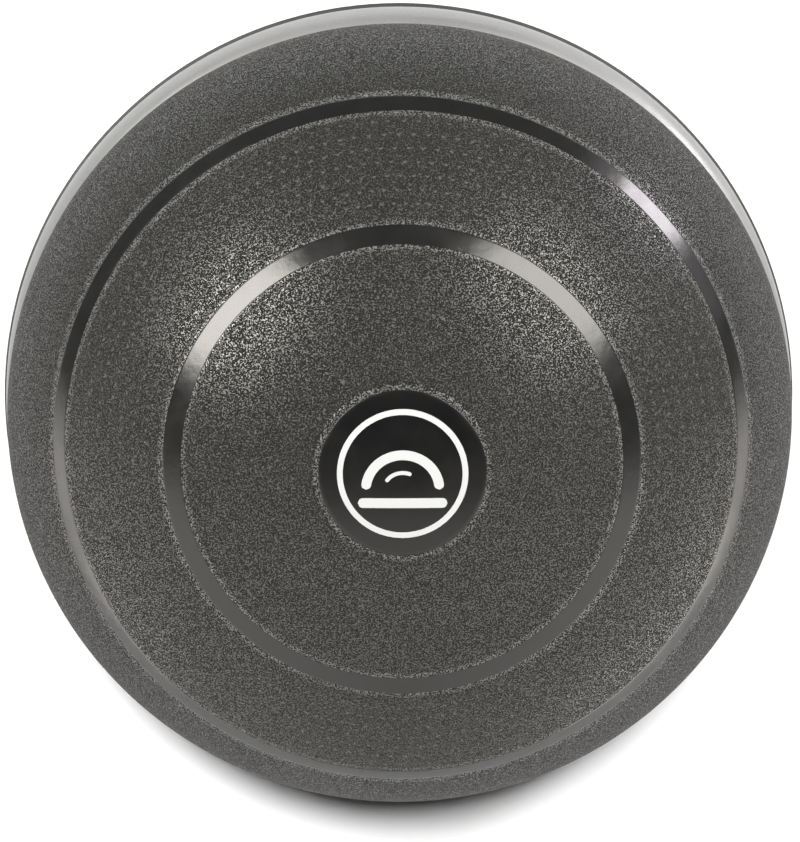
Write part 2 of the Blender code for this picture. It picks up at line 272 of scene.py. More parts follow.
class Finish:
    """A procedural material: a Principled shader whose sockets take constants or nodes."""

    def __init__(self, name, **constants):
        self.material = bpy.data.materials.new(name)
        self.material.use_nodes = True
        self.tree = self.material.node_tree
        self.shader = self.tree.nodes["Principled BSDF"]
        for socket, value in constants.items():
            self.shader.inputs[socket.replace("_", " ")].default_value = value

    def add(self, kind, inputs, **settings):
        return add_node(self.tree, kind, inputs, **settings)

    def place(self):
        """The surface's own coordinates, in metres, as it was before anything pressed on it."""
        return self.add("Attribute", {}, attribute_name="rest").outputs["Vector"]

    def own_place(self):
        """The piece's own coordinates, for pieces that nothing presses on."""
        return self.add("TexCoord", {}).outputs["Object"]

    def noise(self, place, scale, detail=2.0, roughness=0.5, output="Fac"):
        inputs = {"Vector": place, "Scale": scale, "Detail": detail, "Roughness": roughness}
        return self.add("TexNoise", inputs).outputs[output]

    def math(self, operation, first, second=0.0):
        return self.add("Math", {0: first, 1: second}, operation=operation).outputs[0]

    def remap(self, value, low, high, to_low=0.0, to_high=1.0, smooth=False):
        kind = 'SMOOTHSTEP' if smooth else 'LINEAR'
        inputs = {"Value": value, "From Min": low, "From Max": high,
                  "To Min": to_low, "To Max": to_high}
        return self.add("MapRange", inputs, interpolation_type=kind).outputs[0]

    def vector(self, operation, first, second):
        return self.add("VectorMath", {0: first, 1: second}, operation=operation).outputs[0]

    def scaled(self, vector, amount):
        return self.add("VectorMath", {0: vector, "Scale": amount}, operation='SCALE').outputs[0]

    def blend(self, share, first, second):
        made = self.add("Mix", {"Factor": share}, data_type='RGBA')
        for socket, value in ((6, first), (7, second)):
            plain = isinstance(value, tuple)
            feed(self.tree, made, socket, (*value, 1.0) if plain else value)
        return made.outputs[2]

    def warped(self, place, scale, reach):
        """Coordinates pushed about by a noise, so that a pattern loses its regular look."""
        push = self.noise(place, scale, 1.0, output="Color")
        push = self.vector('SUBTRACT', push, (0.5, 0.5, 0.5))
        return self.vector('ADD', place, self.scaled(push, reach))

    def bump(self, height, distance):
        inputs = {"Height": height, "Distance": distance, "Strength": 1.0}
        return self.add("Bump", inputs).outputs[0]

    def use(self, socket, value):
        self.tree.links.new(value, self.shader.inputs[socket])


def dress(made, *finishes, slot, body="trainer"):
    for finish in finishes:
        made.data.materials.append(finish.material)
    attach(made, body)


def remember_rest(made):
    """Stores where each point is at rest, so that a pressed surface keeps its pattern."""
    mesh = made.data
    places = np.zeros(len(mesh.vertices) * 3, np.float32)
    mesh.vertices.foreach_get("co", places)
    mesh.attributes.new("rest", 'FLOAT_VECTOR', 'POINT').data.foreach_set("vector", places)


# ---- finishes ----------------------------------------------------------------------------------
def radius_of(finish, place):
    """The distance from the trainer's axis, and the place's three parts."""
    parts = finish.add("SeparateXYZ", {0: place}).outputs
    square = finish.math('ADD', finish.math('MULTIPLY', parts[0], parts[0]),
                         finish.math('MULTIPLY', parts[1], parts[1]))
    return finish.math('SQRT', square), parts


def near_bands(finish, radius, reach):
    """1 at the edges of the smooth bands and the disc, falling to 0 at reach from them."""
    total = None
    for edge in [edge for band in BANDS for edge in band] + [BADGE_RADIUS]:
        away = finish.math('ABSOLUTE', finish.math('SUBTRACT', radius, edge))
        near = finish.remap(away, reach * 0.4, reach, 1.0, 0.0, smooth=True)
        total = near if total is None else finish.math('MAXIMUM', total, near)
    return total


def pips(finish, radius, parts):
    """Rows of small raised crescents between the two bands."""
    per_turn, row_pitch, row_shift = 138, 0.0084, 0.3
    middle_radius, curl = 0.185, 400.0
    inner, outer = BANDS[0][1], BANDS[1][0]
    angle = finish.math('ARCTAN2', parts[1], parts[0])
    row = finish.math('DIVIDE', finish.math('SUBTRACT', radius, inner), row_pitch)
    shift = finish.math('MULTIPLY', finish.math('FLOOR', row), row_shift)
    along = finish.math('ADD', finish.math('MULTIPLY', angle, per_turn / math.tau), shift)
    across = finish.math('SUBTRACT', finish.math('FRACT', row), 0.5)
    along = finish.math('SUBTRACT', finish.math('FRACT', along), 0.5)
    across = finish.math('MULTIPLY', across, row_pitch)
    along = finish.math('MULTIPLY', along, middle_radius * math.tau / per_turn)
    along_squared = finish.math('MULTIPLY', along, along)
    across = finish.math('SUBTRACT', across, finish.math('MULTIPLY', along_squared, curl))
    across_squared = finish.math('MULTIPLY', finish.math('MULTIPLY', across, across), 4.0)
    away = finish.math('SQRT', finish.math('ADD', along_squared, across_squared))
    raised = finish.remap(away, 0.0006, 0.0019, 1.0, 0.0, smooth=True)
    inside = finish.remap(radius, inner + 0.004, inner + 0.008, smooth=True)
    outside = finish.remap(radius, outer - 0.010, outer - 0.004, 1.0, 0.0, smooth=True)
    return finish.math('MULTIPLY', raised, finish.math('MULTIPLY', inside, outside))


def grained_pvc():
    """Charcoal PVC with a fine pebble grain: pale glossy specks on a near-black dull ground, the
    specks painted glints and the ground's depth painted shade in the grain's hollows; paler grain
    beside the bands and on the pips is painted glints too.
    """
    grain_scale, grain_depth, rim_width, pip_height = 1100.0, 0.00048, 0.0046, 1.8
    finish = Finish("grained_pvc", Specular_IOR_Level=0.57)
    place = finish.place()
    radius, parts = radius_of(finish, place)
    worms = finish.noise(finish.warped(place, grain_scale, 0.0003), grain_scale, 0.5)
    pebble = finish.remap(worms, 0.455, 0.565, smooth=True)
    speck = finish.remap(worms, 0.558, 0.628, smooth=True)
    edges = near_bands(finish, radius, rim_width)
    raised = pips(finish, radius, parts)
    height = finish.math('MULTIPLY', pebble, finish.remap(edges, 0.0, 1.0, 1.0, 1.8))
    height = finish.math('ADD', height, finish.math('MULTIPLY', raised, pip_height))
    finish.use("Normal", finish.bump(height, grain_depth))
    cloud = finish.noise(place, 9.0, 3.0)
    # Painted shade and glints: the ground between the specks is near-black, painted shade in the
    # grain's hollows, and the specks on the pebble tops are pale, painted glints; mixed, they give
    # the charcoal its own tone.
    shaded_ground = finish.blend(cloud, (0.0006, 0.0007, 0.0005), (0.0014, 0.0015, 0.0012))
    light = finish.blend(cloud, (0.050, 0.051, 0.0455), (0.067, 0.068, 0.0605))
    tone = finish.blend(speck, shaded_ground, light)
    # Painted glints: the grain beside the bands and the disc, and the pips, are lightened towards a
    # pale grey.
    painted_glints = finish.math('MAXIMUM', finish.math('MULTIPLY', edges, pebble),
                         finish.math('MULTIPLY', raised, 0.6))
    finish.use("Base Color", finish.blend(painted_glints, tone, (0.150, 0.150, 0.140)))
    gloss = finish.remap(finish.noise(place, 430.0, 1.0), 0.42, 0.58, 0.0, 0.24)
    facing = finish.add("LayerWeight", {"Blend": 0.5}).outputs["Facing"]
    dull = finish.remap(facing, 0.50, 0.85, 0.0, 0.24, smooth=True)
    dull = finish.math('ADD', finish.remap(pebble, 0.0, 1.0, 1.0, 0.23), dull)
    finish.use("Roughness", finish.math('ADD', gloss, dull))
    return finish


def smooth_pvc():
    """The same PVC where the mould is polished: the two bands."""
    finish = Finish("smooth_pvc", Specular_IOR_Level=0.46)
    place = finish.place()
    cloud = finish.noise(place, 60.0, 3.0)
    finish.use("Base Color", finish.blend(cloud, (0.010, 0.010, 0.010), (0.015, 0.015, 0.0145)))
    finish.use("Roughness", finish.remap(cloud, 0.3, 0.7, 0.16, 0.22))
    finish.use("Normal", finish.bump(finish.noise(place, 90.0, 2.0), 0.00012))
    return finish


def badge_print():
    finish = Finish("badge_print", Specular_IOR_Level=0.46)
    place = finish.place()
    cloud = finish.noise(place, 45.0, 4.0)
    finish.use("Base Color", finish.blend(cloud, (0.004, 0.004, 0.0042), (0.007, 0.007, 0.007)))
    finish.use("Roughness", finish.remap(cloud, 0.3, 0.7, 0.20, 0.27))
    finish.use("Normal", finish.bump(finish.noise(place, 120.0, 2.0), 0.00006))
    return finish


def emblem_print():
    finish = Finish("emblem_print", Specular_IOR_Level=0.4)
    place = finish.place()
    speck = finish.noise(place, 900.0, 2.0)
    finish.use("Base Color", finish.blend(speck, (0.57, 0.57, 0.555), (0.61, 0.61, 0.595)))
    finish.use("Roughness", finish.remap(speck, 0.3, 0.7, 0.42, 0.55))
    finish.use("Normal", finish.bump(speck, 0.00003))
    return finish


def satin_silver():
    finish = Finish("satin_silver", Metallic=0.35, Specular_IOR_Level=0.5)
    place = finish.own_place()
    cloud = finish.noise(place, 14.0, 3.0)
    fleck = finish.noise(place, 2200.0, 1.0)
    base = finish.blend(cloud, (0.235, 0.235, 0.231), (0.278, 0.278, 0.272))
    pale = finish.remap(fleck, 0.55, 0.75)
    finish.use("Base Color", finish.blend(pale, base, (0.36, 0.36, 0.355)))
    finish.use("Roughness", finish.remap(cloud, 0.3, 0.7, 0.36, 0.46))
    finish.use("Normal", finish.bump(finish.noise(place, 700.0, 2.0), 0.00003))
    return finish


def moulded(name, low, high, rough, grain=900.0, depth=0.00006):
    """Moulded plastic or rubber with a spark-eroded skin and faint scuffs."""
    finish = Finish(name)
    place = finish.own_place()
    scuff = finish.noise(place, 35.0, 6.0, 0.7)
    tone = finish.remap(scuff, 0.45, 0.75, smooth=True)
    finish.use("Base Color", finish.blend(tone, low, high))
    finish.use("Roughness", finish.remap(scuff, 0.3, 0.7, rough - 0.07, rough + 0.07))
    finish.use("Normal", finish.bump(finish.noise(place, grain, 2.0), depth))
    return finish


def screw_steel():
    finish = Finish("black_steel", Metallic=1.0)
    place = finish.own_place()
    cloud = finish.noise(place, 500.0, 3.0)
    finish.use("Base Color", finish.blend(cloud, (0.10, 0.10, 0.105), (0.19, 0.19, 0.19)))
    finish.use("Roughness", finish.remap(cloud, 0.3, 0.7, 0.28, 0.42))
    finish.use("Normal", finish.bump(cloud, 0.00003))
    return finish


# ---- the dome ----------------------------------------------------------------------------------
def dome_point(angle, offset=0.0):
    """A point of the dome's outer surface, angle down from the crown, moved out by offset."""
    half_height = DOME_RISE if angle <= math.pi / 2 else DOME_TUCK
    normal = (half_height * math.sin(angle), DOME_RADIUS * math.cos(angle))
    length = math.hypot(*normal)
    return (DOME_RADIUS * math.sin(angle) + offset * normal[0] / length,
            WIDEST_HEIGHT + half_height * math.cos(angle) + offset * normal[1] / length)


def dome_angle(radius):
    return math.asin(radius / DOME_RADIUS)


WAIST_ANGLE = math.acos((WAIST_HEIGHT - WIDEST_HEIGHT) / DOME_TUCK)
WAIST_RADIUS = dome_point(WAIST_ANGLE)[0]


def arc_rate(angle):
    """How far the surface runs per unit of angle."""
    return math.hypot(DOME_RADIUS * math.cos(angle), DOME_RISE * math.sin(angle))


def band_lift(angle):
    """How far a band stands out at this angle: its sides rise over a short rounded step."""
    step = 0.001
    lift = 0.0
    for inner, outer in BANDS:
        from_inner = (angle - dome_angle(inner)) * arc_rate(angle)
        from_outer = (dome_angle(outer) - angle) * arc_rate(angle)
        share = min(1.0, max(0.0, min(from_inner, from_outer) / step + 0.5))
        lift = max(lift, BAND_HEIGHT * share * share * (3 - 2 * share))
    return lift


def skin_angles():
    """Where the dome's profile has points: even steps, and closer ones at the bands' edges."""
    upper, lower = 96, 22
    clearing, fine_step, last_step = 0.0016, 0.00012, 0.0011
    angles = {math.pi / 2 * k / upper for k in range(upper + 1)}
    angles |= {math.pi / 2 + (WAIST_ANGLE - math.pi / 2) * k / lower for k in range(1, lower + 1)}
    for edge in [dome_angle(edge) for band in BANDS for edge in band]:
        rate = arc_rate(edge)
        angles -= {a for a in angles if abs(a - edge) * rate < clearing}
        angles |= {edge + k * fine_step / rate for k in range(-4, 5)}
        angles |= {edge - last_step / rate, edge + last_step / rate}
    return sorted(angles)


def make_dome():
    angles = skin_angles()
    outer = [dome_point(a, band_lift(a)) for a in angles]
    outer[0] = (0.0, CROWN_HEIGHT)
    inner_count = 40
    inner = [dome_point(WAIST_ANGLE * (inner_count - k) / inner_count, -DOME_WALL)
             for k in range(inner_count)]
    inner[0] = (WAIST_RADIUS - DOME_WALL, WAIST_HEIGHT)
    inner.append((0.0, CROWN_HEIGHT - DOME_WALL))
    middles = [(a + b) / 2 for a, b in zip(angles, angles[1:])]
    spread = 0.0016
    slots = [int(any(dome_angle(i) - spread < m < dome_angle(o) + spread for i, o in BANDS))
             for m in middles]
    slots += [0] * len(inner)
    skin = turned("dome_skin", outer + inner, closed=False, slots=slots)
    remember_rest(skin)
    pvc = grained_pvc()
    dress(skin, pvc, smooth_pvc(), slot="dome_pvc")
    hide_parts("dome_bladder")
    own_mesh(skin)

    rounding, corner = 0.001, 0.004
    foot = [(WAIST_RADIUS, WAIST_HEIGHT), (WAIST_RADIUS, BEAD_TOP + rounding)]
    foot += arc((WAIST_RADIUS + rounding, BEAD_TOP + rounding), rounding, 180, 270, 4)
    foot += arc((BEAD_RADIUS - rounding, BEAD_TOP - rounding), rounding, 90, 0, 4)
    foot += arc((BEAD_RADIUS - rounding, FLOOR_BOTTOM + rounding), rounding, 0, -90, 4)
    foot += [(VALVE_HOLE_RADIUS, FLOOR_BOTTOM), (VALVE_HOLE_RADIUS, FLOOR_TOP)]
    foot += arc((WAIST_RADIUS - DOME_WALL - corner, FLOOR_TOP + corner), corner, -90, 0, 6)
    foot.append((WAIST_RADIUS - DOME_WALL, WAIST_HEIGHT))
    base = turned("dome_foot", foot)
    remember_rest(base)
    dress(base, pvc, slot="dome_pvc")
    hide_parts("dome_bladder")


def on_crown(x, y, offset):
    """A point that far over the dome's surface, over (x, y)."""
    radius = math.hypot(x, y)
    if radius < 1e-9:
        return 0.0, 0.0, CROWN_HEIGHT + offset
    out, height = dome_point(dome_angle(radius), offset)
    return x * out / radius, y * out / radius, height


def press_with_crown(made):
    """Gives a piece that rides on the crown its own copy of its mesh."""
    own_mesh(made)


def make_badge():
    top = BADGE_TOP - CROWN_HEIGHT
    edge = dome_angle(BADGE_RADIUS)
    round_off = 0.0004
    count = 20
    outline = [(0.0, BADGE_TOP)]
    outline += [dome_point(edge * k / count, top) for k in range(1, count)]
    for k in range(4):
        turn = math.pi / 2 * k / 3
        outline.append(dome_point(edge - (round_off * (1 - math.sin(turn))) / DOME_RADIUS,
                                  top - round_off * (1 - math.cos(turn))))
    outline += [dome_point(edge * k / 6, GAP * 0.5) for k in range(6, 0, -1)]
    outline.append((0.0, CROWN_HEIGHT + GAP * 0.5))
    badge = turned("crown_disc", outline, closed=False)
    remember_rest(badge)
    dress(badge, badge_print(), slot="badge_print", body="crown")
    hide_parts("crown_badge")
    press_with_crown(badge)


def ribbon(bm, line, half_width, low, high, closed=False):
    """A flat printed stroke along a line of (x, y) points, laid on the crown, with rounded ends."""
    line = np.array(line, float)
    ahead = np.roll(line, -1, 0) if closed else np.vstack([line[1:], line[-1:]])
    behind = np.roll(line, 1, 0) if closed else np.vstack([line[:1], line[:-1]])
    run = ahead - behind
    run /= np.linalg.norm(run, axis=1)[:, None]
    side = np.stack([-run[:, 1], run[:, 0]], 1)
    widths = np.full(len(line), half_width)
    if not closed:
        steps = np.linalg.norm(np.diff(line, axis=0), axis=1)
        along = np.concatenate([[0.0], np.cumsum(steps)])
        to_end = np.minimum(along, along[-1] - along)
        inside = np.clip(to_end / half_width, 0.0, 1.0)
        widths = half_width * np.sqrt(np.clip(1 - (1 - inside) ** 2, 0.004, 1.0))
    shares = (-1.0, -0.5, 0.0, 0.5, 1.0)
    rows = []
    for point, across, width in zip(line, side, widths):
        row = [on_crown(*(point + across * width * s), high) for s in shares]
        row += [on_crown(*(point + across * width * s), low) for s in reversed(shares)]
        rows.append([bm.verts.new(corner) for corner in row])
    count = len(rows)
    for i in range(count if closed else count - 1):
        first, second = rows[i], rows[(i + 1) % count]
        for k in range(len(first)):
            bm.faces.new((first[k], first[(k + 1) % len(first)],
                          second[(k + 1) % len(first)], second[k]))
    if not closed:
        bm.faces.new(rows[0])
        bm.faces.new(rows[-1])


def make_emblem():
    """A plain printed sign on the crown disc: a ring round a dome that stands on its base."""
    top = BADGE_TOP - CROWN_HEIGHT
    low, high = top - 0.0001, top + 0.00012

    def build(bm):
        base = -0.0095
        ribbon(bm, around(180, 0.0385), 0.0018, low, high, closed=True)
        ribbon(bm, oval((0.0, base), 0.0225, 0.0215, 0, 180, 72), 0.0030, low, high)
        ribbon(bm, oval((0.0, base), 0.0115, 0.0105, 62, 152, 39), 0.0012, low, high)
        bar = [(0.0275 * s, base - 0.0085) for s in np.linspace(-1, 1, 60)]
        ribbon(bm, bar, 0.0031, low, high)

    emblem = solid("crown_emblem", build, sharp=40)
    remember_rest(emblem)
    dress(emblem, emblem_print(), slot="badge_print", body="crown")
    press_with_crown(emblem)


# ---- the ring and the platform -----------------------------------------------------------------
def make_ring():
    bottom = PLATFORM_TOP + GAP
    leg_bottom = BEAD_TOP + GAP
    width, height = RING_RADIUS - RING_CROWN_RADIUS, RING_TOP - RING_SHOULDER
    centre = (RING_CROWN_RADIUS, RING_SHOULDER)
    leg = WAIST_RADIUS + GAP
    rim = 0.0005
    inside = oval(centre, width - RING_WALL, height - RING_WALL, 0, 80, 10)
    outline = oval(centre, width, height, 90, 0, 26)
    outline += arc((RING_RADIUS - rim, bottom + rim), rim, 0, -90, 3)
    outline.append((RING_RADIUS - RING_WALL, bottom))
    outline += inside
    outline += [(leg + RING_WALL, inside[-1][1]), (leg + RING_WALL, leg_bottom),
                (leg, leg_bottom), (leg, WAIST_HEIGHT)]
    outline += arc((leg + 0.0036, RING_TOP - 0.0030), 0.0030, 165, 92, 8)
    ring = turned("silver_ring", outline)

    def bosses(bm):
        for x, y in SCREW_PLACES:
            add_cylinder(bm, BOSS_RADIUS, PLATFORM_TOP + GAP, BOSS_TOP, x, y)

    def pilots(bm):
        for x, y in SCREW_PLACES:
            add_cylinder(bm, SCREW_SHANK_RADIUS + GAP, PLATFORM_TOP - 0.010,
                         SCREW_TIP + 0.0005, x, y)

    combine(ring, solid("bosses", bosses), 'UNION')
    combine(ring, solid("pilots", pilots), 'DIFFERENCE')
    finish_mesh(ring.data)
    dress(ring, satin_silver(), slot="ring_silver")
    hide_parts("clamp_ring")


def groove(radius, half_width=0.0009, depth=0.0007):
    """A shallow round groove in the underside, walked from the outside in."""
    return [(radius + half_width, FOOT_HEIGHT), (radius + half_width * 0.5, FOOT_HEIGHT + depth),
            (radius - half_width * 0.5, FOOT_HEIGHT + depth), (radius - half_width, FOOT_HEIGHT)]


def platform_outline():
    deck_top = FOOT_HEIGHT + DECK_THICKNESS
    wall_inside = PLATFORM_RADIUS - PLATFORM_WALL
    rim = 0.0007
    outline = arc((PLATFORM_RADIUS - rim, PLATFORM_TOP - rim), rim, 90, 0, 4)
    outline += arc((PLATFORM_RADIUS - PLATFORM_CORNER, FOOT_HEIGHT + PLATFORM_CORNER),
                   PLATFORM_CORNER, 0, -90, 12)
    for radius in (0.236, 0.1165, 0.046):
        outline += groove(radius)
    outline += arc((WELL_RADIUS + rim, FOOT_HEIGHT + rim), rim, -90, -180, 4)
    outline += [(WELL_RADIUS, RIB_TOP), (WELL_RADIUS + RIB_THICKNESS, RIB_TOP),
                (WELL_RADIUS + RIB_THICKNESS, deck_top)]
    for radius in RIB_RADII:
        outline += [(radius, deck_top), (radius, RIB_TOP),
                    (radius + RIB_THICKNESS, RIB_TOP), (radius + RIB_THICKNESS, deck_top)]
    outline += [(wall_inside, deck_top), (wall_inside, PLATFORM_TOP - DECK_THICKNESS),
                (SHELF_RADIUS, PLATFORM_TOP - DECK_THICKNESS), (SHELF_RADIUS, PLATFORM_TOP)]
    return outline


def make_platform():
    platform = turned("platform_shell", platform_outline(), PLATFORM_STEPS)
    half_turns = (0.0, math.pi)

    def ribs(bm):
        low = (WELL_RADIUS + RIB_THICKNESS / 2, -RIB_THICKNESS / 2,
               FOOT_HEIGHT + DECK_THICKNESS / 2)
        high = (PLATFORM_RADIUS - PLATFORM_WALL * 0.7, RIB_THICKNESS / 2, RIB_TOP - 0.0004)
        for k in range(RIB_COUNT):
            add_box(bm, low, high, math.tau * k / RIB_COUNT)

    def columns(bm):
        for x, y in SCREW_PLACES:
            add_cylinder(bm, COLUMN_RADIUS, FOOT_HEIGHT + DECK_THICKNESS / 2,
                         PLATFORM_TOP - DECK_THICKNESS / 2, x, y)

    def pocket_walls(bm):
        for turn in half_turns:
            add_box(bm, (GRIP_INNER - GRIP_WALL, -GRIP_HALF_WIDTH - GRIP_WALL, FOOT_HEIGHT + 0.001),
                    (GRIP_OUTER + GRIP_WALL, GRIP_HALF_WIDTH + GRIP_WALL, RIB_TOP - 0.0002), turn)

    def grip_sides(bm):
        reach = NOTCH_HALF_WIDTH + 0.006
        for turn in half_turns:
            add_box(bm, (GRIP_OUTER - 0.0005, -reach, BELOW),
                    (PLATFORM_RADIUS + 0.010, reach, 0.060), turn)

    def grip_rim(bm):
        add_cylinder(bm, PLATFORM_RADIUS - PLATFORM_WALL / 2, NOTCH_ROOF - 0.004,
                     PLATFORM_TOP - DECK_THICKNESS / 2, sides=PLATFORM_STEPS)

    def pockets(bm):
        for turn in half_turns:
            add_box(bm, (GRIP_INNER, -GRIP_HALF_WIDTH, BELOW),
                    (GRIP_OUTER, GRIP_HALF_WIDTH, GRIP_ROOF), turn, 0.006, 6)

    def notches(bm):
        for turn in half_turns:
            add_box(bm, (GRIP_OUTER - 0.0015, -NOTCH_HALF_WIDTH, BELOW),
                    (PLATFORM_RADIUS + 0.010, NOTCH_HALF_WIDTH, NOTCH_ROOF), turn, 0.005, 5)

    def recesses(bm):
        for x, y in SCREW_PLACES:
            add_cylinder(bm, COUNTERBORE_RADIUS, BELOW, SCREW_SEAT, x, y)

    def clearance(bm):
        for x, y in SCREW_PLACES:
            add_cylinder(bm, CLEARANCE_RADIUS, SCREW_SEAT - 0.001, PLATFORM_TOP + 0.010, x, y)

    def foot_recesses(bm):
        for x, y in FOOT_PLACES:
            add_cylinder(bm, FOOT_RADIUS + GAP, BELOW, FOOT_TOP + GAP, x, y, sides=SMALL_STEPS)

    grips = solid("grips", grip_rim)
    combine(grips, solid("grip_sides", grip_sides), 'INTERSECT')
    for name, build in (("ribs", ribs), ("columns", columns), ("pocket_walls", pocket_walls)):
        combine(platform, solid(name, build), 'UNION')
    combine(platform, grips, 'UNION')
    for name, build in (("pockets", pockets), ("notches", notches), ("recesses", recesses),
                        ("clearance", clearance), ("foot_recesses", foot_recesses)):
        combine(platform, solid(name, build), 'DIFFERENCE')
    finish_mesh(platform.data)
    black = moulded("platform_black", (0.020, 0.020, 0.020), (0.034, 0.034, 0.034), 0.50)
    dress(platform, black, slot="platform_plastic")
    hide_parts("platform")


# ---- screws, feet and valve --------------------------------------------------------------------
def screw_mesh():
    """A pan-head self-tapping screw with a cross recess, standing on its head."""
    pitch, per_pitch, sides = 0.0016, 6, 24
    head_top = SCREW_SEAT - GAP
    thread_start, point_start = head_top + 0.006, SCREW_TIP - 0.004
    rounding = ((0.0016, 0.0), (0.0006, 0.0005), (0.0001, 0.0012), (0.0, 0.002))
    profile = [(SCREW_HEAD_RADIUS - inward, SCREW_HEAD_BOTTOM + up) for inward, up in rounding]
    profile += [(SCREW_HEAD_RADIUS, head_top), (SCREW_SHANK_RADIUS - 0.0003, head_top)]
    core = SCREW_SHANK_RADIUS - 0.0006
    crest = SCREW_SHANK_RADIUS + 0.0001
    heights = np.arange(thread_start, SCREW_TIP - 0.0004, pitch / per_pitch)
    bm = bmesh.new()
    rows = []

    def add_row(radii, height):
        rows.append([bm.verts.new((radii[k] * math.cos(math.tau * k / sides),
                                   radii[k] * math.sin(math.tau * k / sides), height))
                     for k in range(sides)])

    for radius, height in profile:
        add_row([radius] * sides, height)
    for height in heights:
        to_tip = (SCREW_TIP - height) / (SCREW_TIP - point_start)
        slim = 1.0 if height < point_start else max(0.16, to_tip)
        grow = min(1.0, (height - thread_start) / pitch)
        radii = []
        for k in range(sides):
            phase = (height / pitch - k / sides) % 1.0
            ridge = max(0.0, 1 - abs(phase - 0.5) / 0.28) * grow
            radii.append((core + (crest - core) * ridge) * slim)
        add_row(radii, height)
    for first, second in zip(rows, rows[1:]):
        for k in range(sides):
            bm.faces.new((first[k], first[(k + 1) % sides], second[(k + 1) % sides], second[k]))
    bm.faces.new(rows[0])
    bm.faces.new(rows[-1])
    mesh = bpy.data.meshes.new("ring_screw")
    bm.to_mesh(mesh)
    bm.free()
    return finish_mesh(mesh, 40)


def make_screws():
    """Twelve screws that share one mesh, each turned its own way."""
    steel = screw_steel()
    screw = new_object("screw", screw_mesh())
    # The cross is cut one slot at a time, because a cutter that crosses itself leaves no screw.
    half_length, half_width, bottom = 0.0026, 0.0005, SCREW_HEAD_BOTTOM + 0.0016
    for turn in (0.0, math.pi / 2):
        def slot(bm):
            add_box(bm, (-half_length, -half_width, BELOW), (half_length, half_width, bottom), turn)

        combine(screw, solid("slot", slot), 'DIFFERENCE')
    mesh = finish_mesh(screw.data, 40)
    bpy.data.objects.remove(screw, do_unlink=True)
    mesh.materials.append(steel.material)
    for number, (x, y) in enumerate(SCREW_PLACES, start=1):
        made = new_object(f"screw_{number:02d}", mesh)
        made.location = (x, y, 0.0)
        made.rotation_euler.z = 0.7 * number
        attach(made, "trainer")
        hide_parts(f"ring_screw_{number:02d}")


def make_feet():
    """Round rubber feet with a dished sole and two grooves."""
    rubber = moulded("foot_rubber", (0.020, 0.020, 0.020), (0.034, 0.034, 0.033), 0.80,
                           grain=600.0, depth=0.0001)
    edge, chamfer = 0.0012, 0.0004
    outline = [(0.0, FOOT_TOP), (FOOT_RADIUS - chamfer, FOOT_TOP),
               (FOOT_RADIUS, FOOT_TOP - chamfer)]
    outline += arc((FOOT_RADIUS - edge, edge), edge, 0, -90, 5)
    for radius in (0.0118, 0.0088):
        outline += [(radius - inward, up) for inward, up in (
            (0.0, 0.0), (0.0003, 0.0006), (0.0009, 0.0006), (0.0012, 0.0))]
    outline += [(0.0060, 0.0), (0.0050, 0.0005), (0.0, 0.0007)]
    mesh = turned_mesh("foot", outline, SMALL_STEPS, closed=False)
    mesh.materials.append(rubber.material)
    for number, (x, y) in enumerate(FOOT_PLACES, start=1):
        made = new_object(f"foot_{number}", mesh)
        made.location = (x, y, 0.0)
        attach(made, "trainer")
        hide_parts(f"foot_pad_{number}")


def make_valve():
    """The seat in the dome's floor, and the stopper with its sealing grooves and pull fin."""
    rim = 0.0004
    flange_under = FLOOR_BOTTOM - 0.003
    outline = [(VALVE_BORE_RADIUS, VALVE_TOP)]
    outline += arc((VALVE_FLANGE_RADIUS - rim, VALVE_TOP - rim), rim, 90, 0, 4)
    outline += [(VALVE_FLANGE_RADIUS, FLOOR_TOP + GAP), (VALVE_HOLE_RADIUS - GAP, FLOOR_TOP + GAP),
                (VALVE_HOLE_RADIUS - GAP, FLOOR_BOTTOM - GAP),
                (VALVE_FLANGE_RADIUS, FLOOR_BOTTOM - GAP)]
    outline += arc((VALVE_FLANGE_RADIUS - rim, flange_under + rim), rim, 0, -90, 4)
    outline += arc((VALVE_NECK_RADIUS + 0.001, flange_under - 0.001), 0.001, 90, 180, 5)
    outline += arc((VALVE_NECK_RADIUS - rim, VALVE_END + rim), rim, 0, -90, 4)
    outline.append((VALVE_BORE_RADIUS, VALVE_END))
    seat = turned("valve_body", outline, SMALL_STEPS)
    black = moulded("valve_black", (0.016, 0.016, 0.016), (0.026, 0.026, 0.026), 0.42)
    dress(seat, black, slot="valve_seat_pvc")
    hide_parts("valve_seat")

    head_top = VALVE_END - GAP
    head_bottom = head_top - 0.0032
    outline = [(0.0, PLUG_TOP), (PLUG_STEM_RADIUS - 0.0006, PLUG_TOP),
               (PLUG_STEM_RADIUS, PLUG_TOP - 0.0013)]
    for step in (0.006, 0.009, 0.012):
        outline += [(PLUG_STEM_RADIUS - inward, PLUG_TOP - step + up) for inward, up in (
            (0.0, 0.0012), (0.0004, 0.0008), (0.0004, 0.0004), (0.0, 0.0))]
    outline.append((PLUG_STEM_RADIUS, head_top))
    outline += arc((PLUG_HEAD_RADIUS - 0.0007, head_top - 0.0007), 0.0007, 90, 0, 4)
    outline += arc((PLUG_HEAD_RADIUS - 0.0009, head_bottom + 0.0009), 0.0009, 0, -90, 4)
    outline.append((0.0, head_bottom))
    plug = turned("valve_stopper", outline, SMALL_STEPS, closed=False)

    def fin(bm):
        add_box(bm, (-0.008, -0.0015, PLUG_BOTTOM), (0.008, 0.0015, head_top - 0.002),
                rounding=0.0009)

    combine(plug, solid("fin", fin), 'UNION')
    finish_mesh(plug.data)
    grey = moulded("plug_grey", (0.40, 0.40, 0.385), (0.47, 0.47, 0.45), 0.45)
    dress(plug, grey, slot="valve_plug_pvc", body="plug")
    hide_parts("valve_plug")


